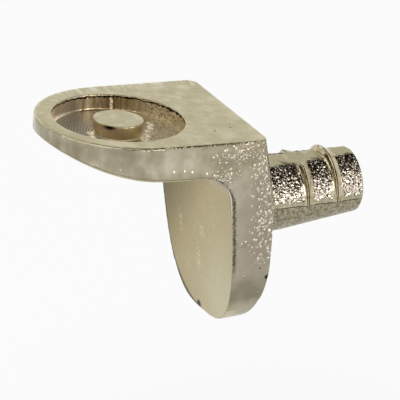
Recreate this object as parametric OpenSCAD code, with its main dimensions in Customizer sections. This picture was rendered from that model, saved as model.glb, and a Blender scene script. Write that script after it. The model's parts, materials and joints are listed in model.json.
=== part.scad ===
// Shelf support pin: one zinc die casting, nickel plated.
// A table that carries the shelf, a tongue that bears on the cabinet side, and a
// ribbed pin that is pressed into a row hole.
//
// Frame: +Y runs into the cabinet side along the pin, +Z is up, X is the width.
// The origin is on the pin's axis in the plane of the flat land that meets the wall.

/* [Table] */
// Width of the table and diameter of its round nose
table_w = 11.5; // [9:0.1:16]
// Length of the table from its rear edge to the tip of the nose
table_l = 13.4; // [13:0.1:18]
// Thickness of the table where it leaves the tongue
table_t = 2.4; // [2:0.1:3.5]
// Thickness of the table at the tip of the nose
nose_t = 0.95; // [0.8:0.05:2]
// Upward slope of the table towards its nose, in degrees
table_rise = 5.2; // [0:0.1:8]
// Height of the table's rear edge above the pin's axis
table_h = 6.25; // [5:0.1:9]
// Radius of the upright rear corners
corner_r = 0.7; // [0.3:0.05:1.5]

/* [Pad seat] */
// Diameter of the round seat for a pad
seat_d = 8.6; // [6:0.1:9]
// Depth of the seat
seat_depth = 1.0; // [0.4:0.05:1.1]
// Distance of the seat's centre from the rear edge
seat_y = 8.0; // [7:0.1:9]
// Diameter of the stud in the middle of the seat
stud_d = 3.25; // [2:0.1:5]
// How far the stud's top lies below the table
stud_drop = 0.05; // [0.02:0.01:0.3]
// Radius of the hollow corner where the stud meets the floor
stud_fillet = 0.1; // [0.05:0.05:0.5]

/* [Tongue] */
// Thickness of the tongue at the pin's axis
tongue_t = 2.9; // [2.4:0.1:4]
// Distance from the pin's axis down to the tip of the tongue
tongue_drop = 7.5; // [6.5:0.1:12]
// Slope of the tongue's front face, in degrees
front_draft = 3.5; // [0:0.1:5]
// Narrowing of each side for each millimetre of height
side_draft = 0.1; // [0:0.01:0.14]
// How fully the tip is rounded: 2 is an ellipse, more is squarer
tip_power = 3.2; // [2:0.1:4]
// Radius of the inside corner under the table
fillet_r = 2.1; // [1:0.1:3]
// Radius of the tongue's long curved back below the land
back_r = 13; // [10:1:40]

/* [Land] */
// How far the flat land reaches above and below the pin
land_margin = 0.2; // [0.1:0.05:0.8]
// How far the rear edge of the table stands off the wall
rear_relief = 0.5; // [0.1:0.05:1]

/* [Pin] */
// Diameter of the pin's plain shank
pin_d = 5.0; // [4.6:0.05:6.4]
// Length of the plain shank
shank_l = 2.6; // [1.5:0.1:3]
// Length of the whole pin from the wall plane
pin_l = 8.15; // [7.5:0.1:12]
// Diameter of the pin at its tip
tip_d = 4.25; // [3.5:0.05:4.5]
// Small bevel on the edge of the tip
tip_bevel = 0.15; // [0.1:0.05:0.4]
// Depth of the flat along the top of the pin, at the wall
flat_depth = 0.26; // [0.1:0.02:0.4]
// Depth of the flat at the tip
flat_tip_depth = 0.12; // [0.06:0.02:0.3]
// How far the casting's parting line lies below the pin's axis
parting_drop = 0.5; // [0:0.1:1]

/* [Ribs] */
// Number of ribs
ribs = 2; // [1:1:3]
// Distance of the first rib's crest from the wall plane
rib_first = 3.9; // [3.4:0.05:4.2]
// Distance between one rib and the next
rib_pitch = 2.15; // [1.6:0.05:2.3]
// Height of a rib's crest over the pin
rib_h = 0.28; // [0.1:0.02:0.5]
// Length of a rib's steep face, on the side of the wall
rib_steep = 0.18; // [0.1:0.02:0.3]
// Length of a rib's long face, on the side of the tip
rib_slope = 0.6; // [0.3:0.05:0.9]
// Width of the narrow land on a rib's crest
rib_land = 0.08; // [0.04:0.02:0.2]
// How far the ribs' centre lies above the pin's axis
rib_lift = 0.16; // [0:0.02:0.2]

/* [Hidden] */
$fn = 96;
metal = "#b8b39a";
big = 60;
bite = 0.5;
arc_steps = 16;
under_power = 2.4;
land = pin_d / 2 + land_margin;
nose_r = table_w / 2;
nose_y = table_l - nose_r;
full_h = table_h + tongue_drop;
taper_start = 0.42 * full_h;
straight_l = tongue_t + fillet_r + bite;
relief_angle = atan(rear_relief / (table_h - land));

// A point of the table, from its distance along the slope and its height over it.
function on_table(along, up) = [
    -rear_relief - along * cos(table_rise) + up * sin(table_rise),
    table_h + along * sin(table_rise) + up * cos(table_rise)
];

// Half the width of the tongue at a depth below the table's rear edge.
function half_w(depth) =
    (nose_r - side_draft * max(0, depth - table_t)) * end_share(depth);

// Share of the width that the rounded tip leaves.
function end_share(depth) =
    let (s = max(0, (depth - taper_start) / (full_h - taper_start)))
    pow(max(0, 1 - pow(s, tip_power)), 1 / tip_power);

// Points of an arc about a centre, from one angle to another.
function arc(c, r, from, to, steps = arc_steps) =
    [for (i = [0:steps]) c + r * [cos(from + (to - from) * i / steps), sin(from + (to - from) * i / steps)]];

// y of the tongue's front face at a height.
function front_y(z) = -tongue_t - z * tan(front_draft);

// y of the tongue's back at a height below the land.
function back_y(z) = -back_r + sqrt(pow(back_r, 2) - pow(min(0, z + land), 2));

// Centre of the arc that touches the underside of the table and the front of the tongue.
function fillet_centre() =
    let (under = on_table(0, -table_t))
    let (k1 = sin(table_rise) * under[0] + cos(table_rise) * under[1] - fillet_r)
    let (k2 = cos(front_draft) * tongue_t + fillet_r)
    let (turn = cos(table_rise + front_draft))
    [
        -(sin(front_draft) * k1 + cos(table_rise) * k2) / turn,
        (sin(table_rise) * k2 + cos(front_draft) * k1) / turn
    ];

module seen_from_side() {
    rotate([90, 0, 90]) linear_extrude(big, center = true) children();
}

module seen_from_table() {
    translate([0, -rear_relief, table_h]) rotate([-table_rise, 0, 0]) children();
}

// The bent bar in section: table, inside corner, tongue, land and the relief over it.
// It runs on past the tip, which tongue_outside() then rounds.
module bar_side() {
    low = -tongue_drop - bite;
    underside = [for (i = [arc_steps:-1:0]) let (s = i / arc_steps)
        on_table(straight_l + (table_l - straight_l) * s, -table_t + (table_t - nose_t) * pow(s, under_power))];
    back = [for (i = [0:arc_steps]) let (z = low - (low + land) * i / arc_steps) [back_y(z), z]];
    polygon(concat(
        [on_table(0, 0), on_table(table_l, 0)],
        underside,
        arc(fillet_centre(), fillet_r, 90 - table_rise, front_draft),
        [[front_y(low), low]],
        back,
        [[0, land]]
    ));
}

// The table's outline seen square to its top, running on behind its rear edge.
module table_plan() {
    translate([0, -nose_y]) circle(nose_r);
    translate([-nose_r, -nose_y]) square([table_w, nose_y + table_h]);
}

// What lies outside the tongue, seen from the front and from the table down.
module tongue_outside() {
    steps = 4 * arc_steps;
    top = table_h - table_t;
    low = -tongue_drop - 2 * bite;
    outside = nose_r + bite;
    side = [for (i = [0:steps]) let (d = table_t + (full_h - table_t) * sin(90 * i / steps))
        [half_w(d), table_h - d]];
    polygon(concat(
        [[outside, top], [outside, low], [-outside, low], [-outside, top]],
        [for (i = [0:steps]) [-side[i][0], side[i][1]]],
        [for (i = [steps - 1:-1:0]) side[i]]
    ));
}

// What is taken off both rear corners, seen from above.
module rear_corners() {
    round_off = concat(
        arc([nose_r - corner_r, -corner_r], corner_r, 0, 90, 8),
        [[nose_r - corner_r, bite], [nose_r + bite, bite], [nose_r + bite, -corner_r]]
    );
    polygon(round_off);
    mirror([1, 0]) polygon(round_off);
}

// Rounds both upright rear corners, along the relief over the land.
module corner_cut() {
    translate([0, 0, land]) rotate([relief_angle, 0, 0])
        translate([0, 0, -big / 2]) linear_extrude(big) rear_corners();
}

module bar() {
    difference() {
        intersection() {
            seen_from_side() bar_side();
            seen_from_table() translate([0, 0, -big / 2]) linear_extrude(big) table_plan();
        }
        rotate([90, 0, 0]) linear_extrude(big, center = true) tongue_outside();
        corner_cut();
    }
}

// The ring around the stud, seen in section from the floor of the seat up.
module seat_side() {
    stud_h = seat_depth - stud_drop;
    corner = min(stud_fillet, stud_h / 2);
    polygon(concat(
        [[0, seat_depth + bite], [0, stud_h], [stud_d / 2, stud_h]],
        arc([stud_d / 2 + corner, corner], corner, 180, 270, arc_steps / 2),
        [[seat_d / 2, 0], [seat_d / 2, seat_depth + bite]]
    ));
}

module seat() {
    seen_from_table() translate([0, -seat_y, -seat_depth]) rotate_extrude() seat_side();
}

// Radius of the plain pin at a distance from the wall plane.
function pin_r(y) =
    y < shank_l ? pin_d / 2
    : pin_d / 2 - (pin_d - tip_d) / 2 * (y - shank_l) / (pin_l - shank_l);

module along_pin() {
    rotate([-90, 0, 0]) rotate_extrude() children();
}

module pin_stem() {
    along_pin() polygon([
        [0, -bite],
        [pin_d / 2, -bite],
        [pin_d / 2, shank_l],
        [pin_r(pin_l - tip_bevel), pin_l - tip_bevel],
        [pin_r(pin_l - tip_bevel) - tip_bevel, pin_l],
        [0, pin_l]
    ]);
}

// One rib: a saw tooth around the pin, above the parting plane only.
module rib(y) {
    crest = pin_r(y) + rib_h - rib_lift;
    intersection() {
        translate([0, 0, rib_lift]) along_pin() polygon([
            [0, y - rib_steep],
            [pin_r(y) - rib_lift, y - rib_steep],
            [crest, y],
            [crest, y + rib_land],
            [pin_r(y + rib_slope) - rib_lift, y + rib_slope],
            [0, y + rib_slope]
        ]);
        translate([-big / 2, 0, -parting_drop]) cube([big, big, big]);
    }
}

module pin_flat() {
    seen_from_side() polygon([
        [0, pin_d / 2 - flat_depth],
        [pin_l + 1, tip_d / 2 - flat_tip_depth],
        [pin_l + 1, pin_d],
        [0, pin_d]
    ]);
}

module pin() {
    difference() {
        union() {
            pin_stem();
            rib(rib_first);
        }
        pin_flat();
    }
    for (i = [1:1:ribs - 1]) rib(rib_first + i * rib_pitch);
}

module support_casting() {
    color(metal) difference() {
        union() {
            bar();
            pin();
        }
        seat();
    }
}

support_casting();
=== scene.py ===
# %% [markdown]
# # A die-cast shelf support in nickel
# The part is one zinc casting: a table that carries the shelf, a tongue that bears on the
# cabinet side, and a ribbed pin. This lesson dresses the exact solid as the real casting
# looks: edges softened by the barrel that tumbles such parts, a rough skin where the die
# was left rough, a smoother face where it was polished, and a warm satin nickel plate.

# %% Load the frame
import json
import math

import bpy
import numpy as np
from mathutils import Matrix, Vector

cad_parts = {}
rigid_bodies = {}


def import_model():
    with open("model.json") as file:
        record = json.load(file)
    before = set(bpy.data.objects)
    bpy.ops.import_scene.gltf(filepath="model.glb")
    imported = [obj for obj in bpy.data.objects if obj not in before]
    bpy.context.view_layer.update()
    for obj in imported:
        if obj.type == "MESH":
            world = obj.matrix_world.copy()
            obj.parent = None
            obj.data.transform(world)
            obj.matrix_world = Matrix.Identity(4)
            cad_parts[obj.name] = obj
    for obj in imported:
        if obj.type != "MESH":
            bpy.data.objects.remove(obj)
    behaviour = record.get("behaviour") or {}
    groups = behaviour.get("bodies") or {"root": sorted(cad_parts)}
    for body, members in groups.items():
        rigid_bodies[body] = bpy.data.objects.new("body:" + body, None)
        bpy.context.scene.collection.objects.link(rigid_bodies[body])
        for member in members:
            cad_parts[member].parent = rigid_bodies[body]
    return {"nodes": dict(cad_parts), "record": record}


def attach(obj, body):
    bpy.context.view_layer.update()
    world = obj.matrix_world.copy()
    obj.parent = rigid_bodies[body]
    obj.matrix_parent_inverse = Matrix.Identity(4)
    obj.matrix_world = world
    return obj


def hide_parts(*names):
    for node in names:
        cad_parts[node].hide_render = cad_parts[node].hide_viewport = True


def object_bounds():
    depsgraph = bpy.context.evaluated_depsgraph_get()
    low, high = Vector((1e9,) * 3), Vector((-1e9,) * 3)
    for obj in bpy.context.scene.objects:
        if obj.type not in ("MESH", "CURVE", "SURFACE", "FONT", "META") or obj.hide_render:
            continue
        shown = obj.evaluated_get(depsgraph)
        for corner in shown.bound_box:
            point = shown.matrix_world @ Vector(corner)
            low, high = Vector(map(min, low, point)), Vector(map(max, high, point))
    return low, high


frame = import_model()
cad_low, cad_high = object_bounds()
MM = 0.001
print("casting, in mm:", [round(v / MM, 2) for v in (cad_high - cad_low)])

# %% [markdown]
# The record says where the part is fastened. Its mounts give the slope of the table and
# the middle of the seat for a pad. The few sizes below them are the solid's own: the seat
# and its stud, the two walls, the draft of the tongue's face, the hollow corner between
# the walls, and the flat on the pin with its taper.

# %% Read the places from the record
mounts = {m["name"]: m for m in frame["record"]["mounts"]}
table_up = Vector(mounts["table_top"]["axis"])
table_point = Vector(mounts["table_top"]["pos_m"])
seat_centre = Vector(mounts["pad_seat"]["pos_m"])
seat_r = 4.3 * MM
stud_r = 1.625 * MM
seat_depth = 1.0 * MM
tongue_t = 2.9 * MM
table_t = 2.4 * MM
front_draft = math.radians(3.5)
corner_r = 2.1 * MM
flat_half = 1.1 * MM
flat_taper = 0.05
print("table slope, degrees:", round(math.degrees(math.acos(table_up.z)), 1))

# %% [markdown]
# The solid arrives as loose triangles with razor edges. It is copied, its triangles are
# joined, and a Remesh modifier in sharp mode lays an even net of small squares over it.
# Sharp mode keeps the edges where they are, which a voxel remesh would crumble.

# %% Copy the solid and give it an even skin
# Corners of triangles that are closer than this are one point.
SAME_POINT = 0.002 * MM


def select_only(piece):
    bpy.ops.object.select_all(action="DESELECT")
    piece.select_set(True)
    bpy.context.view_layer.objects.active = piece


solid = frame["nodes"]["support_casting"]
select_only(solid)
bpy.ops.object.duplicate()
casting = bpy.context.view_layer.objects.active
casting.name = "nickel_casting"
for key in list(casting.keys()):
    del casting[key]
casting.parent = None
casting.data.materials.clear()
select_only(casting)
bpy.ops.object.mode_set(mode="EDIT")
bpy.ops.mesh.select_all(action="SELECT")
bpy.ops.mesh.remove_doubles(threshold=SAME_POINT)
bpy.ops.object.mode_set(mode="OBJECT")

# A depth of 9 lays squares of about 0.05 mm, so that two of them fit across a hill of the
# cast grain.
skin = casting.modifiers.new("even_skin", "REMESH")
skin.mode = "SHARP"
skin.octree_depth = 9
skin.scale = 0.8
skin.sharpness = 1.0
skin.use_remove_disconnected = True
bpy.ops.object.modifier_apply(modifier=skin.name)
print("skin faces:", len(casting.data.polygons))

# %% [markdown]
# Parts like this one are tumbled in a barrel before plating, which takes the razor edge
# off every corner. The points along the edges are found by the way the faces around them
# turn, and a few passes of the smooth tool round them. The nose is rounder, so it gets
# three more rounds that start further and further out. The tip of the tongue gets one and
# the lower edge of the table two.

# %% Soften the edges
# Degrees of turn that make an edge. Then the places where the extra rounds start: on the
# nose, on the lower edge of the table, and at the top of the tongue's tip.
SHARP_TURN = 30
NOSE_STARTS = [-8.0 * MM, -9.0 * MM, -10.0 * MM]
LOWER_EDGE_STARTS = [-4.2 * MM, -5.0 * MM]
TIP_TOP = -5.6 * MM


def read(data, name, width=3):
    values = np.empty(len(data) * width)
    data.foreach_get(name, values)
    return values.reshape(-1, width)


def corners(mesh):
    """The point at each corner of each face, and how many corners each face has."""
    corner_point = read(mesh.loops, "vertex_index", 1).astype(int).ravel()
    counts = read(mesh.polygons, "loop_total", 1).astype(int).ravel()
    return corner_point, counts


def edge_points(mesh, min_turn):
    """Points where the faces around them turn by more than min_turn degrees."""
    normal = read(mesh.polygons, "normal")
    corner_point, counts = corners(mesh)
    corner_face = np.repeat(np.arange(len(counts)), counts)
    total = np.zeros((len(mesh.vertices), 3))
    np.add.at(total, corner_point, normal[corner_face])
    share = np.bincount(corner_point, minlength=len(mesh.vertices))
    length = np.linalg.norm(total, axis=1) / np.maximum(share, 1)
    return length < math.cos(math.radians(min_turn / 2))


def smooth_points(mask, passes, grow=0):
    casting.data.vertices.foreach_set("select", mask)
    select_only(casting)
    bpy.ops.object.mode_set(mode="EDIT")
    bpy.ops.mesh.select_mode(type="VERT")
    for _ in range(grow):
        bpy.ops.mesh.select_more()
    bpy.ops.mesh.vertices_smooth(factor=0.5, repeat=passes)
    bpy.ops.object.mode_set(mode="OBJECT")


def clear_selection():
    for items in (casting.data.vertices, casting.data.edges, casting.data.polygons):
        items.foreach_set("select", np.zeros(len(items), dtype=bool))


clear_selection()
points = read(casting.data.vertices, "co")
edges = edge_points(casting.data, SHARP_TURN)
on_pin = points[:, 1] > 0.05 * MM
in_seat = np.linalg.norm((points - np.array(seat_centre))[:, :2], axis=1) < 1.05 * seat_r
smooth_points(edges & ~on_pin, passes=3, grow=1)
for start in NOSE_STARTS:
    clear_selection()
    smooth_points(edges & (points[:, 1] < start) & ~in_seat, passes=8, grow=4)
clear_selection()
smooth_points(edges & (points[:, 2] < TIP_TOP), passes=8, grow=3)
height = (points - np.array(table_point)) @ np.array(table_up)
lower_edge = edges & (height < -1.2 * MM) & (points[:, 2] > 2.5 * MM)
for start in LOWER_EDGE_STARTS:
    clear_selection()
    smooth_points(lower_edge & (points[:, 1] < start), passes=6, grow=3)
clear_selection()
smooth_points(edges & on_pin, passes=3)
print("edge points softened:", int(edges.sum()))

# %% [markdown]
# Each zone of the casting has its own finish, so each square of the skin is told apart by
# its place and by the way it faces. One array holds the middles of the squares, another
# their normals, and a zone is a test on both.

# %% Find the zones
FINISHES = ["satin", "skin", "rough_pin", "fine_pin", "seat", "rib"]
# The seam between the two halves of the die, which sinks a little towards the pin's end.
PARTING_ROOT = 0.0 * MM
PARTING_SLOPE = -0.08
# The crests of the two ribs, and how far each rib reaches before and behind its crest.
RIB_CRESTS = [3.9 * MM, 6.05 * MM]
RIB_STEEP = 0.22 * MM
RIB_SLOPE = 0.5 * MM
# The rough skin stops this far above the seam, in a line that is ragged by so much.
FADE_OUT = 0.35 * MM
RAGGED = 0.1 * MM
# The share of a normal that has to point up, forward, down or to the pin's end.
UP, FORWARD, DOWN, END = 0.85, 0.75, 0.6, 0.7


def parting_height(y):
    return PARTING_ROOT + PARTING_SLOPE * y


def find_zones(mesh):
    middle = read(mesh.polygons, "center")
    normal = read(mesh.polygons, "normal")
    upward = normal @ np.array(table_up)
    height = (middle - np.array(table_point)) @ np.array(table_up)
    from_seat = middle - np.array(seat_centre)
    from_seat -= np.outer(from_seat @ np.array(table_up), np.array(table_up))
    seat_dist = np.linalg.norm(from_seat, axis=1)
    zone = np.full(len(middle), FINISHES.index("skin"))
    zone[(upward > UP) & (height > -0.3 * MM)] = FINISHES.index("satin")
    inner = (middle[:, 1] < -0.6 * tongue_t) & (height < -1.5 * MM)
    zone[inner & (normal[:, 1] < -FORWARD) & (middle[:, 1] > -5.2 * MM)] = FINISHES.index("satin")
    zone[inner & (normal[:, 2] < -DOWN)] = FINISHES.index("satin")
    ring = (seat_dist < seat_r * 1.01) & (height < -0.03 * MM) & (height > -1.15 * seat_depth)
    stud_top = (upward > UP) & (height > -0.12 * MM)
    zone[ring & (upward > -0.3) & ~stud_top] = FINISHES.index("seat")
    y = middle[:, 1]
    pin = y > 0.03 * MM
    zone[pin] = FINISHES.index("fine_pin")
    above = middle[:, 2] - parting_height(y)
    ragged = RAGGED * np.sin(y / (0.11 * MM)) * np.sin(y / (0.37 * MM) + 1)
    on_end = normal[:, 1] > END
    zone[pin & (above > FADE_OUT + ragged) & ~on_end] = FINISHES.index("rough_pin")
    rib = np.zeros(len(y), dtype=bool)
    for crest in RIB_CRESTS:
        rib |= (y > crest - RIB_STEEP) & (y < crest + RIB_SLOPE)
    flat_edge = flat_half - flat_taper * y + ragged
    on_top = (middle[:, 2] > 0) & (np.abs(middle[:, 0]) < flat_edge) & ~on_end
    zone[pin & (above > 0) & rib] = FINISHES.index("rib")
    zone[pin & on_top & ((y < RIB_CRESTS[1] - RIB_STEEP) | ~rib)] = FINISHES.index("satin")
    return zone


zone = find_zones(casting.data)
print({name: int((zone == i).sum()) for i, name in enumerate(FINISHES)})

# %% [markdown]
# The upper half of the pin came out of a die that was never polished. Its skin stands in
# sharp little hills, which a bump in a material can't give at the outline. The net is fine
# enough to hold them, so a Displace modifier with a cloud texture presses them in. It only
# ever presses inwards, so the pin stays inside the solid's own size.

# %% Press the cast grain into the skin
# The width of a hill, and the depth that the hollows beside it have in each zone.
GRAIN = 0.11 * MM
PRESS = {"rough_pin": 0.06 * MM, "fine_pin": 0.012 * MM}

mesh = casting.data
corner_point, counts = corners(mesh)
corner_zone = np.repeat(zone, counts)
for name, depth in PRESS.items():
    inside = np.bincount(corner_point, corner_zone == FINISHES.index(name), len(mesh.vertices))
    share = inside / np.bincount(corner_point, minlength=len(mesh.vertices))
    group = casting.vertex_groups.new(name=name)
    group.add([int(i) for i in np.flatnonzero(share > 0.99)], 1.0, "REPLACE")
    grain = bpy.data.textures.new(name + "_grain", "CLOUDS")
    grain.noise_scale = GRAIN
    grain.noise_depth = 1
    grain.contrast = 2.2
    press = casting.modifiers.new(name, "DISPLACE")
    press.texture = grain
    press.texture_coords = "LOCAL"
    press.vertex_group = name
    press.mid_level = 1.0
    press.strength = depth
    select_only(casting)
    bpy.ops.object.modifier_apply(modifier=press.name)
    print(name, "hollows, mm:", depth / MM)
casting.vertex_groups.clear()

# %% [markdown]
# A net this fine spends most of its squares on flat faces, where they show nothing. The
# Decimate modifier takes those away first, so the hills of the pin keep nearly all theirs.

# %% Thin the flat faces
MOST_TRIANGLES = 190000
bpy.ops.object.mode_set(mode="EDIT")
bpy.ops.mesh.select_all(action="SELECT")
bpy.ops.mesh.quads_convert_to_tris(quad_method="BEAUTY")
bpy.ops.object.mode_set(mode="OBJECT")
full = len(casting.data.polygons)
thin = casting.modifiers.new("thin", "DECIMATE")
thin.ratio = MOST_TRIANGLES / full
bpy.ops.object.modifier_apply(modifier=thin.name)
zone = find_zones(casting.data)
print("triangles:", full, "thinned to", len(casting.data.polygons))

# %% [markdown]
# ## Finishes
# Every colour is written as the hex value that the eye would pick, and one function turns
# it to the linear value that a shader wants. A second small function adds a node, sets it
# and links it, so that a material reads as a short recipe.

# %% Colour and node helpers
def linear(hex_colour):
    parts = [int(hex_colour[i:i + 2], 16) / 255 for i in (1, 3, 5)]
    return [p / 12.92 if p <= 0.04045 else ((p + 0.055) / 1.055) ** 2.4 for p in parts] + [1.0]


def add(tree, kind, inputs=(), give=None, stops=(), **settings):
    """Add a node with its settings and links, and give back the output that is asked for."""
    node = tree.nodes.new("ShaderNode" + kind)
    for name, value in settings.items():
        setattr(node, name, value)
    for name, value in dict(inputs).items():
        if isinstance(value, bpy.types.NodeSocket):
            tree.links.new(value, node.inputs[name])
        else:
            value = linear(value) if isinstance(value, str) else value
            node.inputs[name].default_value = value
    if stops:
        band = node.color_ramp.elements
        band[1].position = stops[-1][0]
        band[0].position = stops[0][0]
        for position, _ in stops[1:-1]:
            band.new(position)
        for element, (_, colour) in zip(band, stops):
            element.color = linear(colour) if isinstance(colour, str) else (colour,) * 3 + (1,)
    return node if give is None else node.outputs[give]


def per_mm(grain_mm):
    """Noise scale that gives grains of that size, for coordinates in metres."""
    return 1 / (grain_mm * MM)


def new_metal(name, colour, roughness):
    """A bare metal with its shader, and the place on the casting that its patterns read."""
    material = bpy.data.materials.new(name)
    material.use_nodes = True
    tree = material.node_tree
    shader = tree.nodes["Principled BSDF"]
    shader.inputs["Metallic"].default_value = 1.0
    shader.inputs["Base Color"].default_value = linear(colour)
    shader.inputs["Roughness"].default_value = roughness
    material.diffuse_color = linear(colour)
    place = add(tree, "TexCoord", give="Object")
    return material, tree, shader, place


print("plate colour, linear:", [round(v, 3) for v in linear("#c8bd96")])

# %% [markdown]
# Three small patterns come back on several finishes. A mark is one oval place on the
# casting. Pebbles are round hills that stand in some of the cells of a cell pattern. The
# edge gap is the way from the sharp inner edge of the tongue, round its hollow corner.

# %% Patterns of a casting
FRONT_IN = Vector((0, math.cos(front_draft), math.sin(front_draft)))
TOP_LEVEL = table_up.dot(table_point)


def mark(tree, place, centre_mm, size_mm, core=0.3):
    """1 around a point of the casting, fading to 0 at the rim of an oval."""
    centre = [v * MM for v in centre_mm]
    size = [v * MM for v in size_mm]
    away = add(tree, "VectorMath", {0: place, 1: centre}, 0, operation="SUBTRACT")
    away = add(tree, "VectorMath", {0: away, 1: size}, 0, operation="DIVIDE")
    reach = add(tree, "VectorMath", {0: away}, "Value", operation="LENGTH")
    return add(tree, "MapRange", {"Value": reach, "From Min": 1.0, "From Max": core}, "Result")


def pebbles(tree, place, apart_mm, radius_mm, share):
    """Round hills, 0 to 1 high, in a share of the cells of a cell pattern."""
    cells = add(tree, "TexVoronoi", {"Vector": place, "Scale": per_mm(apart_mm)})
    chosen = add(tree, "SeparateColor", {"Color": cells.outputs["Color"]}, "Red")
    kept = add(tree, "Math", {0: chosen, 1: share}, 0, operation="LESS_THAN")
    hill = add(tree, "MapRange", {"Value": cells.outputs["Distance"], "From Min": radius_mm / apart_mm,
                                  "From Max": 0.0}, "Result", interpolation_type="SMOOTHSTEP")
    return add(tree, "Math", {0: kept, 1: hill}, 0, operation="MULTIPLY")


def edge_gap(tree, place):
    """Way from the inner edge of the tongue and of the hollow corner above it."""
    behind = add(tree, "VectorMath", {0: place, 1: FRONT_IN}, "Value", operation="DOT_PRODUCT")
    above = add(tree, "VectorMath", {0: place, 1: table_up}, "Value", operation="DOT_PRODUCT")
    in_front = corner_r + FRONT_IN.y * tongue_t
    below = corner_r - TOP_LEVEL + table_t
    behind = add(tree, "Math", {0: behind, 1: in_front}, 0, operation="ADD")
    above = add(tree, "Math", {0: above, 1: below}, 0, operation="ADD")
    behind = add(tree, "Math", {0: behind, 1: 0.0}, 0, operation="MAXIMUM")
    above = add(tree, "Math", {0: above, 1: 0.0}, 0, operation="MAXIMUM")
    reach = add(tree, "CombineXYZ", {"X": behind, "Y": above}, "Vector")
    reach = add(tree, "VectorMath", {0: reach}, "Value", operation="LENGTH")
    return add(tree, "Math", {0: reach, 1: corner_r}, 0, operation="SUBTRACT")


print("level of the table top, mm:", round(TOP_LEVEL / MM, 3))

# %% [markdown]
# The table top, the face of the tongue and the flat along the pin came out of polished
# parts of the die. Nickel over them is a warm, silky grey with soft, wide reflections.
# The tongue is painted browner towards its far upper corner, as shade.
# It is all one material, in which the place on the casting sets the tint.

# %% Satin nickel plate
# Sizes in mm: a cloud in the plate, its fine grain, and the painted highlights at the far rim.
# The real grain is finer still. It is drawn coarser here, so that it shows.
PLATE_CLOUD = 1.1
PLATE_GRAIN = 0.16
RIM_SPARKLE = 0.35
# Painted shade, from the grey tip of the tongue to its brown far corner.
TONGUE_SHADE_TINTS = [(0.0, "#c0b99e"), (0.2, "#b6ab88"), (0.45, "#a99c75"), (0.7, "#82744b"),
                (0.92, "#4a3f1d")]
# The middle of the tongue's round tip, and where its straight flanks end above.
TIP_MIDDLE = -2.6 * MM
FLANK_TOP = 1.5 * MM
# Middle and size of each pit, in mm, painted near-black as its shade, and of each pale place on the tongue.
PITS = [((3.44, -3.3, 6.5), 0.1), ((3.08, -2.02, 6.39), 0.09), ((-0.46, -2.46, -7.25), 0.36)]
PALE_MARKS = [((-2.7, -2.75, -2.2), (0.3, 0.5, 1.1)), ((-0.13, -2.68, -3.7), (0.4, 0.4, 1.2)),
              ((0.6, -2.72, -1.6), (0.5, 0.4, 0.6))]


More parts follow.
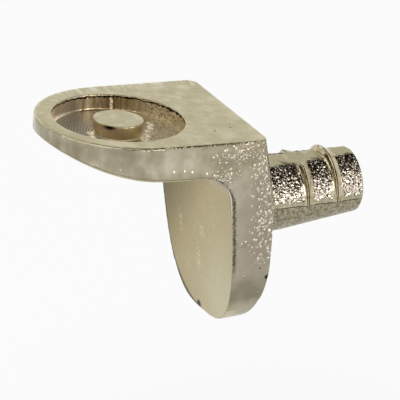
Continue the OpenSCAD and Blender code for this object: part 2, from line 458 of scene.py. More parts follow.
def satin_nickel_plate():
    # Finish: satin nickel. The eye gets it from wide soft reflections with a warm tint.
    metal, tree, shader, place = new_metal("satin nickel plate", "#c8bd96", 0.31)
    cloud = add(tree, "TexNoise", {"Vector": place, "Scale": per_mm(PLATE_CLOUD), "Detail": 4.0}, "Fac")
    tint = add(tree, "ValToRGB", {"Fac": cloud}, "Color",
               stops=[(0.36, "#bfb48a"), (0.5, "#c8bd94"), (0.66, "#d7cdaa")])
    apart = add(tree, "SeparateXYZ", {"Vector": place})
    x, y, z = (apart.outputs[axis] for axis in "XYZ")
    # Painted shade: the tongue is browner to the far side and upwards, and greyer at its tip.
    far = add(tree, "MapRange", {"Value": x, "From Min": 2.5 * MM, "From Max": -5.5 * MM,
                                 "To Max": 0.6}, "Result")
    upper = add(tree, "MapRange", {"Value": z, "From Min": -5.0 * MM, "From Max": 3.5 * MM,
                                   "To Max": 0.5}, "Result")
    tongue_shade = add(tree, "Math", {0: far, 1: upper}, 0, operation="ADD")
    face = add(tree, "ValToRGB", {"Fac": tongue_shade}, "Color", stops=TONGUE_SHADE_TINTS)
    below = add(tree, "MapRange", {"Value": z, "From Min": 5.4 * MM, "From Max": 4.6 * MM}, "Result")
    ahead = add(tree, "MapRange", {"Value": y, "From Min": -1.0 * MM, "From Max": -2.0 * MM}, "Result")
    tongue = add(tree, "Math", {0: below, 1: ahead}, 0, operation="MULTIPLY")
    face = add(tree, "Mix", {0: 0.2, 6: face, 7: tint}, 2, data_type="RGBA", blend_type="SOFT_LIGHT")
    tint = add(tree, "Mix", {0: tongue, 6: tint, 7: face}, 2, data_type="RGBA")
    # Along the far edge of the tongue, where it turns away, a dark band is painted as shade. The outline is
    # straight down to the middle of the round tip, and a circle below it.
    half = add(tree, "MapRange", {"Value": z, "From Min": TIP_MIDDLE, "From Max": FLANK_TOP,
                                  "To Min": 4.93 * MM, "To Max": 5.75 * MM}, "Result")
    under = add(tree, "Math", {0: z, 1: -TIP_MIDDLE}, 0, operation="ADD")
    under = add(tree, "Math", {0: under, 1: 0.0}, 0, operation="MINIMUM")
    reach = add(tree, "CombineXYZ", {"X": x, "Y": under}, "Vector")
    reach = add(tree, "VectorMath", {0: reach}, "Value", operation="LENGTH")
    left = add(tree, "Math", {0: half, 1: reach}, 0, operation="SUBTRACT")
    thin = add(tree, "MapRange", {"Value": left, "From Min": 0.25 * MM, "From Max": 0.1 * MM,
                                  "To Max": 0.85}, "Result")
    on_far = add(tree, "Math", {0: x, 1: -0.5 * MM}, 0, operation="LESS_THAN")
    thin = add(tree, "Math", {0: thin, 1: on_far}, 0, operation="MULTIPLY")
    thin = add(tree, "Math", {0: thin, 1: tongue}, 0, operation="MULTIPLY")
    tint = add(tree, "Mix", {0: thin, 6: tint, 7: "#3a3118"}, 2, data_type="RGBA")
    # Painted highlights: pale short strokes along the far rim of the table.
    drawn = add(tree, "Mapping", {"Vector": place, "Scale": (0.2, 1.0, 1.0)}, 0)
    rim_sparkle = add(tree, "TexNoise", {"Vector": drawn, "Scale": per_mm(RIM_SPARKLE), "Detail": 2.0}, "Fac")
    rim_sparkle = add(tree, "MapRange", {"Value": rim_sparkle, "From Min": 0.48, "From Max": 0.64, "To Max": 0.85},
                 "Result")
    rim = add(tree, "MapRange", {"Value": x, "From Min": -4.2 * MM, "From Max": -5.2 * MM}, "Result")
    rim_sparkle = add(tree, "Math", {0: rim_sparkle, 1: rim}, 0, operation="MULTIPLY")
    table = add(tree, "Math", {0: 1.0, 1: tongue}, 0, operation="SUBTRACT")
    rim_sparkle = add(tree, "Math", {0: rim_sparkle, 1: table}, 0, operation="MULTIPLY")
    tint = add(tree, "Mix", {0: rim_sparkle, 6: tint, 7: "#eae4cb"}, 2, data_type="RGBA")
    # The pin's flat is a little darker than the table.
    on_pin = add(tree, "MapRange", {"Value": y, "From Min": -0.1 * MM, "From Max": 0.1 * MM}, "Result")
    tint = add(tree, "Mix", {0: on_pin, 6: tint, 7: "#bab087"}, 2, data_type="RGBA")
    # A few pits, painted near-black as shade, the pale places, and a painted highlight along the rounded
    # inner edge with a thin dark line inside it.
    for centre, size in PITS:
        pit = mark(tree, place, centre, (size, size, size), 0.6)
        tint = add(tree, "Mix", {0: pit, 6: tint, 7: "#1d160e"}, 2, data_type="RGBA")
    grain = add(tree, "TexNoise", {"Vector": place, "Scale": per_mm(PLATE_GRAIN), "Detail": 3.0}, "Fac")
    broken = add(tree, "MapRange", {"Value": grain, "From Min": 0.48, "From Max": 0.58, "To Max": 0.45},
                 "Result")
    for centre, size in PALE_MARKS:
        pale = mark(tree, place, centre, size)
        pale = add(tree, "Math", {0: pale, 1: broken}, 0, operation="MULTIPLY")
        tint = add(tree, "Mix", {0: pale, 6: tint, 7: "#e4dcc0"}, 2, data_type="RGBA")
    # Painted highlight: a pale band along the rounded inner edge of the tongue.
    edge = add(tree, "MapRange", {"Value": x, "From Min": 5.3 * MM, "From Max": 5.4 * MM}, "Result")
    bevel_reach = mark(tree, place, (5.3, -4.2, 2.9), (1.0, 2.2, 2.6), 0.6)
    edge = add(tree, "Math", {0: edge, 1: bevel_reach}, 0, operation="MULTIPLY")
    tint = add(tree, "Mix", {0: edge, 6: tint, 7: "#cfc7ab"}, 2, data_type="RGBA")
    inner_dark_line = add(tree, "Math", {0: x, 1: 5.3 * MM, 2: 0.05 * MM}, 0, operation="COMPARE")
    inner_dark_line = add(tree, "Math", {0: inner_dark_line, 1: bevel_reach}, 0, operation="MULTIPLY")
    tint = add(tree, "Mix", {0: inner_dark_line, 6: tint, 7: "#766b4e"}, 2, data_type="RGBA")
    shade = add(tree, "ValToRGB", {"Fac": grain}, "Color", stops=[(0.3, 0.3), (0.7, 0.7)])
    tint = add(tree, "Mix", {0: 0.35, 6: tint, 7: shade}, 2, data_type="RGBA", blend_type="SOFT_LIGHT")
    tree.links.new(tint, shader.inputs["Base Color"])
    bump = add(tree, "Bump", {"Height": grain, "Strength": 0.6, "Distance": 0.02 * MM}, "Normal")
    tree.links.new(bump, shader.inputs["Normal"])
    return metal


casting.data.materials.append(satin_nickel_plate())
print(casting.data.materials[-1].name)

# %% [markdown]
# The sides of the table and of the tongue are the skin as the die gave it. It is greyer
# than the faces, softly clouded, and stands in small pebbles where the zinc met the cooler
# end of the die, next to the wall. Each pebble catches a softbox as one white point. The
# pebbles are too low to show at the outline, so they are a bump in the material.

# %% Cast nickel skin
# Sizes in mm: a cloud in the skin, its fine grain, drawn coarser than it is so that it
# shows, and the room that each pebble has in a field of them and outside it.
SKIN_CLOUD = 1.1
SKIN_GRAIN = 0.12
PEBBLE = 0.25
LOOSE_PEBBLE = 0.4
# From the tip of the tongue up to the rim of the table. The dark band low on the tongue is painted shade.
SIDE_TINTS_AND_SHADE = [(0.05, "#a19a83"), (0.12, "#a0997f"), (0.16, "#857e6b"), (0.24, "#8b8473"),
              (0.30, "#aaa18f"), (0.72, "#aaa18f"), (0.84, "#b1a88e")]
# Middle and size, in mm, of the fields of pebbles outside the rear band.
PEBBLE_FIELDS = [((5.75, -2.2, 5.6), (1.0, 3.0, 0.9)), ((5.27, -1.8, -0.93), (0.6, 1.1, 0.32)),
                 ((5.75, -3.6, 4.2), (1.0, 1.4, 0.8))]
# Middles, in mm, of the four pebbles that stand alone on the side of the table.
LONE_PEBBLES = [(5.75, -7.2, 5.1), (5.75, -6.46, 5.02), (5.75, -5.93, 4.87), (5.75, -4.9, 4.6)]
# Dark chips in the skin: at the rear edge, over the hollow corner and behind the tongue.
CHIPS = [((4.81, -0.1, -3.65), (0.5, 0.24, 0.2)), ((5.75, -3.81, 3.91), (0.3, 0.13, 0.12)),
         ((4.97, -0.71, -2.89), (0.3, 0.09, 0.09))]


def cast_nickel_skin():
    # Finish: cast skin under bright nickel. The eye gets it from white points on a calm grey.
    metal, tree, shader, place = new_metal("cast nickel skin", "#a9a08a", 0.18)
    apart = add(tree, "SeparateXYZ", {"Vector": place})
    y, z = apart.outputs["Y"], apart.outputs["Z"]
    level = add(tree, "MapRange", {"Value": z, "From Min": -7.5 * MM, "From Max": 7.5 * MM}, "Result")
    tint = add(tree, "ValToRGB", {"Fac": level}, "Color", stops=SIDE_TINTS_AND_SHADE)
    nose = add(tree, "MapRange", {"Value": y, "From Min": -6.5 * MM, "From Max": -10 * MM}, "Result")
    tint = add(tree, "Mix", {0: nose, 6: tint, 7: "#a59d86"}, 2, data_type="RGBA")
    # Upright clouds, drawn out along the way the zinc ran.
    drawn = add(tree, "Mapping", {"Vector": place, "Scale": (1.0, 0.8, 0.7)}, 0)
    cloud = add(tree, "TexNoise", {"Vector": drawn, "Scale": per_mm(SKIN_CLOUD), "Detail": 4.0}, "Fac")
    table = add(tree, "MapRange", {"Value": z, "From Min": 1.0 * MM, "From Max": 4.5 * MM,
                                   "To Min": 0.25}, "Result")
    dark = add(tree, "MapRange", {"Value": cloud, "From Min": 0.5, "From Max": 0.7}, "Result")
    dark = add(tree, "Math", {0: dark, 1: table}, 0, operation="MULTIPLY")
    tint = add(tree, "Mix", {0: dark, 6: tint, 7: "#8f8670"}, 2, data_type="RGBA")
    pale = add(tree, "MapRange", {"Value": cloud, "From Min": 0.5, "From Max": 0.3}, "Result")
    pale = add(tree, "Math", {0: pale, 1: table}, 0, operation="MULTIPLY")
    tint = add(tree, "Mix", {0: pale, 6: tint, 7: "#c4bda9"}, 2, data_type="RGBA")
    # A soft, broken dark line runs just behind the inner edge.
    fray = add(tree, "TexNoise", {"Vector": place, "Scale": per_mm(SKIN_GRAIN), "Detail": 3.0}, "Fac")
    gap = edge_gap(tree, place)
    gap = add(tree, "Math", {0: fray, 1: 0.5 * MM, 2: gap}, 0, operation="MULTIPLY_ADD")
    gap = add(tree, "Math", {0: gap, 1: 0.4 * MM}, 0, operation="SUBTRACT")
    gap = add(tree, "Math", {0: gap}, 0, operation="ABSOLUTE")
    line = add(tree, "MapRange", {"Value": gap, "From Min": 0.17 * MM, "From Max": 0.02 * MM}, "Result")
    reach = mark(tree, place, (5.3, -3.6, 0.7), (3.0, 2.6, 4.6), 0.75)
    line = add(tree, "Math", {0: line, 1: reach}, 0, operation="MULTIPLY")
    tint = add(tree, "Mix", {0: line, 6: tint, 7: "#544c42"}, 2, data_type="RGBA")
    # A thin dark line under the rim of the table, stronger to the rear, is a painted reflection of the dark
    # band of the tent.
    drop = add(tree, "VectorMath", {0: place, 1: table_up}, "Value", operation="DOT_PRODUCT")
    drop = add(tree, "Math", {0: fray, 1: 0.3 * MM, 2: drop}, 0, operation="MULTIPLY_ADD")
    rim = add(tree, "Math", {0: drop, 1: TOP_LEVEL + 0.11 * MM, 2: 0.055 * MM}, 0, operation="COMPARE")
    rear = add(tree, "MapRange", {"Value": y, "From Min": -9.0 * MM, "From Max": -7.0 * MM}, "Result")
    rim = add(tree, "Math", {0: rim, 1: rear}, 0, operation="MULTIPLY")
    tint = add(tree, "Mix", {0: rim, 6: tint, 7: "#33291f"}, 2, data_type="RGBA")
    for centre, size in CHIPS:
        chip = mark(tree, place, centre, size, 0.6)
        tint = add(tree, "Mix", {0: chip, 6: tint, 7: "#1c150e"}, 2, data_type="RGBA")
    # Pebbles stand thick in the rear band, at the rear corner and along one cold line.
    rear = add(tree, "MapRange", {"Value": y, "From Min": -2.2 * MM, "From Max": -0.8 * MM}, "Result")
    upper = add(tree, "MapRange", {"Value": z, "From Min": -3.6 * MM, "From Max": -1.8 * MM}, "Result")
    thick = add(tree, "Math", {0: rear, 1: upper}, 0, operation="MULTIPLY")
    for centre, size in PEBBLE_FIELDS:
        field = mark(tree, place, centre, size)
        thick = add(tree, "Math", {0: thick, 1: field}, 0, operation="MAXIMUM")
    # The back, flat against the wall, is calmer.
    facing = add(tree, "TexCoord", give="Normal")
    facing = add(tree, "SeparateXYZ", {"Vector": facing})
    calm = add(tree, "MapRange", {"Value": facing.outputs["Y"], "From Min": 0.5, "From Max": 0.8,
                                  "To Min": 1.0, "To Max": 0.12}, "Result")
    thick = add(tree, "Math", {0: thick, 1: calm}, 0, operation="MULTIPLY")
    fine = pebbles(tree, place, PEBBLE, 0.17, 0.85)
    grain = add(tree, "TexNoise", {"Vector": place, "Scale": per_mm(SKIN_GRAIN), "Detail": 1.0}, "Fac")
    fine = add(tree, "Math", {0: grain, 1: 0.5, 2: fine}, 0, operation="MULTIPLY_ADD")
    fine = add(tree, "Math", {0: fine, 1: thick}, 0, operation="MULTIPLY")
    loose = pebbles(tree, place, LOOSE_PEBBLE, 0.13, 0.1)
    height = add(tree, "Math", {0: fine, 1: 1.3, 2: loose}, 0, operation="MULTIPLY_ADD")
    for centre in LONE_PEBBLES:
        alone = mark(tree, place, centre, (0.3, 0.15, 0.15), 0.0)
        alone = add(tree, "Math", {0: alone, 1: 0.62}, 0, operation="MULTIPLY")
        height = add(tree, "Math", {0: height, 1: alone}, 0, operation="MAXIMUM")
    height = add(tree, "Math", {0: grain, 1: 0.12, 2: height}, 0, operation="MULTIPLY_ADD")
    # Painted shade: the hollows between the pebbles are darker.
    hollow = add(tree, "MapRange", {"Value": fine, "From Min": 0.45, "From Max": 0.2}, "Result")
    hollow = add(tree, "Math", {0: hollow, 1: thick}, 0, operation="MULTIPLY")
    tint = add(tree, "Mix", {0: hollow, 6: tint, 7: "#958b78"}, 2, data_type="RGBA")
    # Painted highlight: the crests of the pebbles are paler, to whiten their glints.
    crest = add(tree, "MapRange", {"Value": fine, "From Min": 0.5, "From Max": 0.9, "To Max": 0.6},
                "Result")
    tint = add(tree, "Mix", {0: crest, 6: tint, 7: "#e6e1d6"}, 2, data_type="RGBA")
    # The rounded lower edge of the table was polished with the face of the tongue.
    turned = facing.outputs["Z"]
    table = add(tree, "Math", {0: z, 1: 2.2 * MM}, 0, operation="GREATER_THAN")
    ahead = add(tree, "MapRange", {"Value": y, "From Min": -4.0 * MM, "From Max": -4.8 * MM}, "Result")
    table = add(tree, "Math", {0: table, 1: ahead}, 0, operation="MULTIPLY")
    strip = add(tree, "MapRange", {"Value": turned, "From Min": -0.12, "From Max": -0.3, "To Max": 0.8},
                "Result")
    strip = add(tree, "Math", {0: strip, 1: table}, 0, operation="MULTIPLY")
    tint = add(tree, "Mix", {0: strip, 6: tint, 7: "#b5ae8a"}, 2, data_type="RGBA")
    seam = add(tree, "Math", {0: turned, 1: -0.12, 2: 0.07}, 0, operation="COMPARE")
    seam = add(tree, "Math", {0: seam, 1: table}, 0, operation="MULTIPLY")
    seam = add(tree, "Math", {0: seam, 1: 0.6}, 0, operation="MULTIPLY")
    tint = add(tree, "Mix", {0: seam, 6: tint, 7: "#7b725c"}, 2, data_type="RGBA")
    tree.links.new(tint, shader.inputs["Base Color"])
    bump = add(tree, "Bump", {"Height": height, "Strength": 1.0, "Distance": 0.07 * MM}, "Normal")
    tree.links.new(bump, shader.inputs["Normal"])
    return metal


casting.data.materials.append(cast_nickel_skin())
print(casting.data.materials[-1].name)

# %% [markdown]
# The upper half of the pin is the roughest place of all. Its hills were pressed into the mesh above. The
# plate on them is bright, and the hollows between them are painted dark as shade, so it glitters in black
# and white.

# %% Rough cast nickel
# The width of a hollow, in mm.
PIN_HOLLOW = 0.13


def rough_cast_nickel():
    # Finish: bright nickel over a rough casting. The eye gets black and white glitter.
    metal, tree, shader, place = new_metal("rough cast nickel", "#c9bda2", 0.08)
    pit = add(tree, "TexNoise", {"Vector": place, "Scale": per_mm(PIN_HOLLOW), "Detail": 2.0}, "Fac")
    # Painted shade: the hollows are dark, and there are more of them near the flat than near the seam.
    upward = add(tree, "SeparateXYZ", {"Vector": place}, "Z")
    deeper = add(tree, "MapRange", {"Value": upward, "From Min": 0.6 * MM, "From Max": 1.8 * MM,
                                    "To Min": 0.03, "To Max": -0.07}, "Result")
    deeper = add(tree, "Math", {0: pit, 1: deeper}, 0, operation="ADD")
    tint = add(tree, "ValToRGB", {"Fac": deeper}, "Color",
               stops=[(0.4, "#2f2318"), (0.5, "#b3a793"), (0.6, "#e2d8c8")])
    # The rounding at the end of the pin turns to the dark, and it is painted dark as shade.
    turned = add(tree, "TexCoord", give="Normal")
    turned = add(tree, "SeparateXYZ", {"Vector": turned}, "Y")
    end = add(tree, "MapRange", {"Value": turned, "From Min": 0.3, "From Max": 0.5, "To Max": 0.8}, "Result")
    tint = add(tree, "Mix", {0: end, 6: tint, 7: "#2e251a"}, 2, data_type="RGBA")
    tree.links.new(tint, shader.inputs["Base Color"])
    bump = add(tree, "Bump", {"Height": pit, "Strength": 1.0, "Distance": 0.018 * MM}, "Normal")
    tree.links.new(bump, shader.inputs["Normal"])
    return metal


casting.data.materials.append(rough_cast_nickel())
print(casting.data.materials[-1].name)

# %% [markdown]
# The lower half of the pin came out of the other half of the die. It is finer, and it is painted a little
# darker as shade, for it faces the shadowed paper below. The seam where the two halves met shows as a thin
# dark line along the pin.

# %% Fine cast nickel
# Sizes in mm: a speck of the fine skin, and the waves in the seam.
PIN_SPECK = 0.2
SEAM_WAVE = 0.5
# The noise that frays the seam lifts it by this much on average.
SEAM_LEVEL = PARTING_ROOT + 0.06 * MM


def fine_cast_nickel():
    # Finish: fine cast skin under nickel. The eye gets a dull grey with small soft specks.
    metal, tree, shader, place = new_metal("fine cast nickel", "#9b937b", 0.3)
    apart = add(tree, "SeparateXYZ", {"Vector": place})
    line = add(tree, "Math", {0: apart.outputs["Y"], 1: -PARTING_SLOPE, 2: apart.outputs["Z"]}, 0,
               operation="MULTIPLY_ADD")
    fray = add(tree, "TexNoise", {"Vector": place, "Scale": per_mm(SEAM_WAVE)}, "Fac")
    line = add(tree, "Math", {0: fray, 1: 0.12 * MM, 2: line}, 0, operation="MULTIPLY_ADD")
    seam = add(tree, "Math", {0: line, 1: SEAM_LEVEL, 2: 0.03 * MM}, 0, operation="COMPARE")
    cloud = add(tree, "TexNoise", {"Vector": place, "Scale": per_mm(PIN_SPECK), "Detail": 3.0}, "Fac")
    tint = add(tree, "ValToRGB", {"Fac": cloud}, "Color", stops=[(0.38, "#766e59"), (0.62, "#a8a087")])
    # Painted shade: below the seam it stays darker, and above it it is painted lighter.
    upper = add(tree, "Math", {0: line, 1: SEAM_LEVEL}, 0, operation="GREATER_THAN")
    upper = add(tree, "Math", {0: upper, 1: 0.55}, 0, operation="MULTIPLY")
    tint = add(tree, "Mix", {0: upper, 6: tint, 7: "#b9b19a"}, 2, data_type="RGBA")
    tint = add(tree, "Mix", {0: seam, 6: tint, 7: "#43392b"}, 2, data_type="RGBA")
    tree.links.new(tint, shader.inputs["Base Color"])
    bump = add(tree, "Bump", {"Height": cloud, "Strength": 1.0, "Distance": 0.06 * MM}, "Normal")
    tree.links.new(bump, shader.inputs["Normal"])
    return metal


casting.data.materials.append(fine_cast_nickel())
print(casting.data.materials[-1].name)

# %% [markdown]
# The round seat holds a soft pad, so nobody polished it. Its floor keeps the rings of the cutter that sank
# the die, its wall is streaked from top to bottom, and the side towards the pin is rough. Deep in the seat
# it is browner.

# %% Die-cut nickel in the seat
# Sizes in mm: the cutter's rings, the specks of the rough side, and the waves of the dark rim line.
# The real rings are finer. They are drawn a little coarser here, so that they show.
CUTTER_RING = 0.6
SEAT_SPECK = 0.14
RIM_WAVE = 0.25
# Streaks in one turn round the wall.
WALL_STREAKS = 12.0
# Across the seat, from the smooth side to the rough one.
ACROSS = Vector((0.427, 0.904, 0))
# Middle and size in mm, and colour: a painted highlight on the far wall, and a hole in the stud painted
# near-black as its shade.
SEAT_MARKS = [((-4.1, -7.13, 6.3), (0.4, 0.12, 0.6), "#fff4da"),
              ((1.15, -9.62, 6.93), (0.6, 0.6, 0.24), "#1c150e")]
# Middle and size, in mm, of the painted highlights: on the far wall, and on the floor at both sides of the
# stud.
GLINTS = [((-4.1, -7.13, 6.3), (0.5, 0.12, 0.7)),
          ((0.45, -10.5, 6.1), (0.4, 0.3, 0.5)), ((-0.2, -10.3, 6.1), (0.4, 0.3, 0.5)),
          ((1.5, -7.3, 5.87), (0.5, 0.32, 0.5)), ((0.9, -6.93, 5.83), (0.5, 0.3, 0.5)),
          ((0.3, -6.5, 5.79), (0.5, 0.28, 0.5)), ((-0.4, -6.1, 5.75), (0.5, 0.26, 0.5)),
          ((-1.0, -5.8, 5.72), (0.5, 0.24, 0.5))]


def die_cut_nickel():
    # Finish: nickel in a recess. The eye gets a brown glow, rings and streaks.
    metal, tree, shader, place = new_metal("die-cut nickel", "#c3ae84", 0.26)
    away = add(tree, "VectorMath", {0: place, 1: seat_centre}, 0, operation="SUBTRACT")
    flat = add(tree, "VectorMath", {0: away, 1: (1, 1, 0)}, 0, operation="MULTIPLY")
    reach = add(tree, "VectorMath", {0: flat}, "Value", operation="LENGTH")
    around = add(tree, "VectorMath", {0: flat}, 0, operation="NORMALIZE")
    streak = add(tree, "TexNoise", {"Vector": around, "Scale": WALL_STREAKS, "Detail": 3.0}, "Fac")
    tint = add(tree, "ValToRGB", {"Fac": streak}, "Color", stops=[(0.36, "#b59e76"), (0.64, "#f4e6c6")])
    on_floor = add(tree, "MapRange", {"Value": reach, "From Min": 4.26 * MM, "From Max": 4.16 * MM},
                   "Result")
    rings = add(tree, "TexWave", {"Vector": flat, "Scale": per_mm(CUTTER_RING), "Distortion": 2.0,
                                  "Detail": 1.0, "Detail Scale": 0.3}, "Fac",
                wave_type="RINGS", rings_direction="SPHERICAL")
    ground = add(tree, "Mix", {0: rings, 6: "#695f4e", 7: "#a09580"}, 2, data_type="RGBA")
    tint = add(tree, "Mix", {0: on_floor, 6: tint, 7: ground}, 2, data_type="RGBA")
    stud = add(tree, "MapRange", {"Value": reach, "From Min": stud_r + 0.1 * MM,
                                  "From Max": stud_r + 0.04 * MM}, "Result")
    tint = add(tree, "Mix", {0: stud, 6: tint, 7: "#d9c59a"}, 2, data_type="RGBA")
    # Rough towards the pin, where the hollows between the specks are painted dark as shade.
    side = add(tree, "VectorMath", {0: away, 1: ACROSS}, "Value", operation="DOT_PRODUCT")
    rough = add(tree, "MapRange", {"Value": side, "From Min": 1.0 * MM, "From Max": 2.2 * MM}, "Result")
    # Painted light: the wall by the nose faces the lamps and is painted paler than the rest.
    pale = add(tree, "MapRange", {"Value": side, "From Min": -2.2 * MM, "From Max": -3.8 * MM}, "Result")
    wall = add(tree, "Math", {0: 1.0, 1: on_floor}, 0, operation="SUBTRACT")
    pale = add(tree, "Math", {0: pale, 1: wall}, 0, operation="MULTIPLY")
    tint = add(tree, "Mix", {0: pale, 6: tint, 7: "#fff6e6"}, 2, data_type="RGBA")
    speck = add(tree, "TexNoise", {"Vector": place, "Scale": per_mm(SEAT_SPECK), "Detail": 2.0}, "Fac")
    hollow = add(tree, "MapRange", {"Value": speck, "From Min": 0.52, "From Max": 0.38}, "Result")
    hollow = add(tree, "Math", {0: hollow, 1: rough}, 0, operation="MULTIPLY")
    tint = add(tree, "Mix", {0: rough, 6: tint, 7: "#d3c5a3"}, 2, data_type="RGBA")
    tint = add(tree, "Mix", {0: hollow, 6: tint, 7: "#97876a"}, 2, data_type="RGBA")
    for centre, size, colour in SEAT_MARKS:
        here = mark(tree, place, centre, size)
        tint = add(tree, "Mix", {0: here, 6: tint, 7: colour}, 2, data_type="RGBA")
    # Painted glints at both sides of the stud and on the far wall, broken up by the specks.
    glint = add(tree, "MapRange", {"Value": speck, "From Min": 0.4, "From Max": 0.5}, "Result")
    shine = 0.0
    for centre, size in GLINTS:
        here = mark(tree, place, centre, size, 0.6)
        shine = add(tree, "Math", {0: here, 1: shine}, 0, operation="MAXIMUM")
    shine = add(tree, "Math", {0: shine, 1: glint}, 0, operation="MULTIPLY")
    tint = add(tree, "Mix", {0: shine, 6: tint, 7: "#ffedcc"}, 2, data_type="RGBA")
    # The rim over the wall is painted dark and broken.
    fray = add(tree, "TexNoise", {"Vector": place, "Scale": per_mm(RIM_WAVE), "Detail": 3.0}, "Fac")
    drop = add(tree, "VectorMath", {0: place, 1: table_up}, "Value", operation="DOT_PRODUCT")
    drop = add(tree, "Math", {0: fray, 1: 0.5 * MM, 2: drop}, 0, operation="MULTIPLY_ADD")
    rim_line = add(tree, "Math", {0: drop, 1: TOP_LEVEL + 0.12 * MM, 2: 0.06 * MM}, 0, operation="COMPARE")
    wall = add(tree, "Math", {0: reach, 1: 4.0 * MM}, 0, operation="GREATER_THAN")
    rim_line = add(tree, "Math", {0: rim_line, 1: wall}, 0, operation="MULTIPLY")
    tint = add(tree, "Mix", {0: rim_line, 6: tint, 7: "#2e2014"}, 2, data_type="RGBA")
    tree.links.new(tint, shader.inputs["Base Color"])
    dull = add(tree, "Math", {0: on_floor, 1: 0.4}, 0, operation="MULTIPLY")
    dull = add(tree, "Math", {0: dull, 1: rough}, 0, operation="MAXIMUM")
    dull = add(tree, "Math", {0: dull, 1: shine}, 0, operation="MAXIMUM")
    dull = add(tree, "MapRange", {"Value": dull, "To Min": 0.26, "To Max": 0.6}, "Result")
    tree.links.new(dull, shader.inputs["Roughness"])
    # The painted highlights are set as a plain scattering surface, so that they look bright from every side.
    torn = add(tree, "Math", {0: shine, 1: -1.0, 2: 1.0}, 0, operation="MULTIPLY_ADD")
    tree.links.new(torn, shader.inputs["Metallic"])
    smooth = add(tree, "Math", {0: 1.0, 1: rough}, 0, operation="SUBTRACT")
    rings = add(tree, "Math", {0: rings, 1: smooth}, 0, operation="MULTIPLY")
    rings = add(tree, "Math", {0: rings, 1: on_floor}, 0, operation="MULTIPLY")
    hills = add(tree, "Math", {0: speck, 1: rough}, 0, operation="MULTIPLY")
    height = add(tree, "Math", {0: hills, 1: 3.0, 2: rings}, 0, operation="MULTIPLY_ADD")
    bump = add(tree, "Bump", {"Height": height, "Strength": 1.0, "Distance": 0.012 * MM}, "Normal")
    tree.links.new(bump, shader.inputs["Normal"])
    return metal


casting.data.materials.append(die_cut_nickel())
print(casting.data.materials[-1].name)

# %% [markdown]
# The crest of a rib is the first thing that the wall of the hole rubs against. It is smooth and golden, it
# mirrors the bright wall on one side and the dark top on the other, and a thin dark line is painted at its
# foot as shade.

# %% Rubbed nickel on the ribs
# Sizes in mm: a rubbed patch, and a dent in the crest.
RUBBED_PATCH = 0.3
CREST_DENT = 0.2


def rubbed_nickel():
    # Finish: rubbed bright nickel. The eye gets a sharp white streak beside a dark line.
    metal, tree, shader, place = new_metal("rubbed nickel", "#b9ad93", 0.13)
    y = add(tree, "SeparateXYZ", {"Vector": place}, "Y")
    tint = add(tree, "TexNoise", {"Vector": place, "Scale": per_mm(RUBBED_PATCH)}, "Fac")
    tint = add(tree, "ValToRGB", {"Fac": tint}, "Color", stops=[(0.4, "#a2946f"), (0.6, "#c5ba9f")])
    for crest in RIB_CRESTS:
        # Painted shade: a thin dark line at the foot of each crest.
        painted_foot_shade = add(tree, "Math", {0: y, 1: crest + 0.07 * MM, 2: 0.04 * MM}, 0, operation="COMPARE")
        tint = add(tree, "Mix", {0: painted_foot_shade, 6: tint, 7: "#35261a"}, 2, data_type="RGBA")
    tree.links.new(tint, shader.inputs["Base Color"])
    grain = add(tree, "TexNoise", {"Vector": place, "Scale": per_mm(CREST_DENT)}, "Fac")
    bump = add(tree, "Bump", {"Height": grain, "Strength": 0.5, "Distance": 0.03 * MM}, "Normal")
    tree.links.new(bump, shader.inputs["Normal"])
    return metal


casting.data.materials.append(rubbed_nickel())
print(casting.data.materials[-1].name)

# %% [markdown]
# Each face of the skin now takes the finish of its zone. Faces that meet at less than 40
# degrees are shaded as one surface. The finished casting takes the solid's place.

# %% Finish the casting
SMOOTH_BELOW = math.radians(40)
casting.data.polygons.foreach_set("material_index", zone.astype(np.int32))
casting.data.update()
select_only(casting)
bpy.ops.object.shade_smooth_by_angle(angle=SMOOTH_BELOW)
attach(casting, "root")
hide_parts("support_casting")
print([m.name for m in casting.data.materials])

# %% [markdown]
# ## Floor, light and camera
# The part is held over a wide sheet of white paper, which keeps its soft shadow. The paper
# is white to the eye and in the metal's reflections through its own material, so no lamp
# has to be turned up for it.

# %% Floor
FLOOR_SIZE = 1.2
FLOOR_DROP = 9 * MM
# The share of the paper that glows for the eye and for reflections, next to its shadow.
PAPER_GLOW = 0.85
bpy.ops.object.select_all(action="DESELECT")
bpy.ops.mesh.primitive_plane_add(size=FLOOR_SIZE, location=(0, 0, cad_low.z - FLOOR_DROP))
floor = bpy.context.view_layer.objects.active
floor.name = "floor"
select_only(floor)
bpy.ops.object.transform_apply(location=True, rotation=False, scale=False)
# Finish: matt white paper. The eye gets an even white that still takes a shadow.
paper = bpy.data.materials.new("matt white paper")
paper.use_nodes = True
page = paper.node_tree
matt = page.nodes["Principled BSDF"]
matt.inputs["Base Color"].default_value = linear("#f2f2f2")
matt.inputs["Roughness"].default_value = 0.9
matt.inputs["Specular IOR Level"].default_value = 0.1
rays = add(page, "LightPath").outputs
seen = add(page, "Math", {0: rays["Is Camera Ray"], 1: rays["Is Glossy Ray"]}, 0, operation="ADD")
seen = add(page, "Math", {0: seen, 1: rays["Is Transmission Ray"]}, 0, operation="ADD")
seen = add(page, "Math", {0: seen, 1: PAPER_GLOW}, 0, operation="MULTIPLY")
glow = add(page, "Emission", {"Strength": 1.0}, "Emission")
mixed = add(page, "MixShader", {0: seen, 1: matt.outputs["BSDF"], 2: glow}, 0)
page.links.new(mixed, page.nodes["Material Output"].inputs["Surface"])
floor.data.materials.append(paper)
print("floor height, mm:", round((cad_low.z - FLOOR_DROP) / MM, 2))

# %% [markdown]
# Small metal parts are shown in a light tent: white walls all round, up to a little above
# the part, a dark band above them, and a white lid right over the part. The walls and the
# lid give the faces their calm tone. The dark band gives the thin dark lines on rounded
# edges and the black in the glitter of the pin.

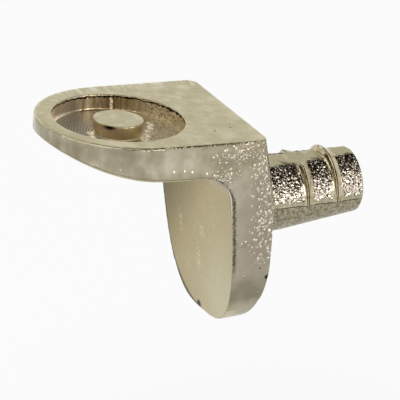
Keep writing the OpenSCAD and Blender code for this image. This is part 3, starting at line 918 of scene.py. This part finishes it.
# %% World
world = bpy.data.worlds.new("studio")
bpy.context.scene.world = world
world.use_nodes = True
sky = world.node_tree
sky.nodes.clear()
direction = add(sky, "TexCoord", give="Generated")
rise = add(sky, "SeparateXYZ", {"Vector": direction}, "Z")
# How far up a direction points, from 0 at the horizon to 1 overhead, and how bright it is.
TENT = [(0.0, 1.0), (0.36, 1.0), (0.42, 0.8), (0.56, 0.1), (0.66, 0.04), (0.92, 0.04), (0.955, 0.9)]
tent = add(sky, "ValToRGB", {"Fac": rise}, "Color", stops=TENT)
back = add(sky, "Background", {"Color": tent, "Strength": 1.0}, "Background")
add(sky, "OutputWorld", {"Surface": back})
print("tent walls end at, degrees:", round(math.degrees(math.asin(TENT[1][0])), 1))

# %% [markdown]
# A wide softbox high in front and a smaller one at the far side light the paper and give
# the nose its bright rim. The smallest stands low at the near side: it is what the pebbles
# of the skin catch as white points.

# %% Lamps
# Name, azimuth and height in degrees, distance and size in m, and power in W.
SOFTBOXES = [("overhead_softbox", 20, 60, 0.5, 0.65, 1.7),
             ("side_softbox", 115, 12, 0.5, 0.24, 0.6),
             ("far_softbox", 282, 44, 0.5, 0.4, 0.4)]


def softbox(name, azimuth, elevation, distance, size, power):
    a, e = math.radians(azimuth), math.radians(elevation)
    spot = Vector((math.sin(a) * math.cos(e), -math.cos(a) * math.cos(e), math.sin(e))) * distance
    bpy.ops.object.light_add(type="AREA", location=spot)
    lamp = bpy.context.view_layer.objects.active
    lamp.name = name
    lamp.data.shape = "SQUARE"
    lamp.data.size = size
    lamp.data.energy = power
    lamp.rotation_euler = (-spot).to_track_quat("-Z", "Y").to_euler()
    return lamp


for box in SOFTBOXES:
    print(softbox(*box).name)

# %% [markdown]
# The camera stands at the near side, a little above the table, and far enough away for
# the edges to stay nearly parallel. Its frame is built from three directions: to the
# right, up and back. The first two are turned by the small roll.

# %% Camera
# In degrees: round from the front, up from the level, and the roll.
AZIMUTH, ELEVATION, ROLL = 64.735, 22.826, 0.478
DISTANCE = 0.4
FRAME_SIDE = 400
SENSOR = 36
# One mm of the part takes this many of the 400 parts of the frame's side.
VIEW_SCALE = 15.498
# A point under the table that stands this far right of the frame's middle, and above it.
UNDER_TABLE = Vector((0, -2, 2)) * MM
TO_RIGHT = 9.553 / VIEW_SCALE * MM
TO_TOP = 26.014 / VIEW_SCALE * MM
a, e, roll = (math.radians(v) for v in (AZIMUTH, ELEVATION, ROLL))
right0 = Vector((math.cos(a), math.sin(a), 0))
up0 = Vector((-math.sin(a) * math.sin(e), math.cos(a) * math.sin(e), math.cos(e)))
back0 = Vector((math.sin(a) * math.cos(e), -math.cos(a) * math.cos(e), math.sin(e)))
right = math.cos(roll) * right0 + math.sin(roll) * up0
up = -math.sin(roll) * right0 + math.cos(roll) * up0
spot = UNDER_TABLE - right * TO_RIGHT - up * TO_TOP + back0 * DISTANCE
bpy.ops.object.camera_add(location=spot)
camera = bpy.context.view_layer.objects.active
camera.name = "camera"
camera.matrix_world = Matrix((
    (right.x, up.x, back0.x, spot.x),
    (right.y, up.y, back0.y, spot.y),
    (right.z, up.z, back0.z, spot.z),
    (0, 0, 0, 1),
))
camera.data.sensor_width = SENSOR
camera.data.lens = SENSOR * DISTANCE * VIEW_SCALE / MM / FRAME_SIDE
camera.data.clip_start = 0.01
camera.data.clip_end = 10
bpy.context.scene.camera = camera
print("lens, mm:", round(camera.data.lens, 1))

# %% [markdown]
# The last step sets the plain Standard view transform and brings the scene up to date.
# The casting has to lie inside the solid's own box.

# %% Set the view transform
bpy.context.scene.view_settings.view_transform = "Standard"
bpy.context.view_layer.update()
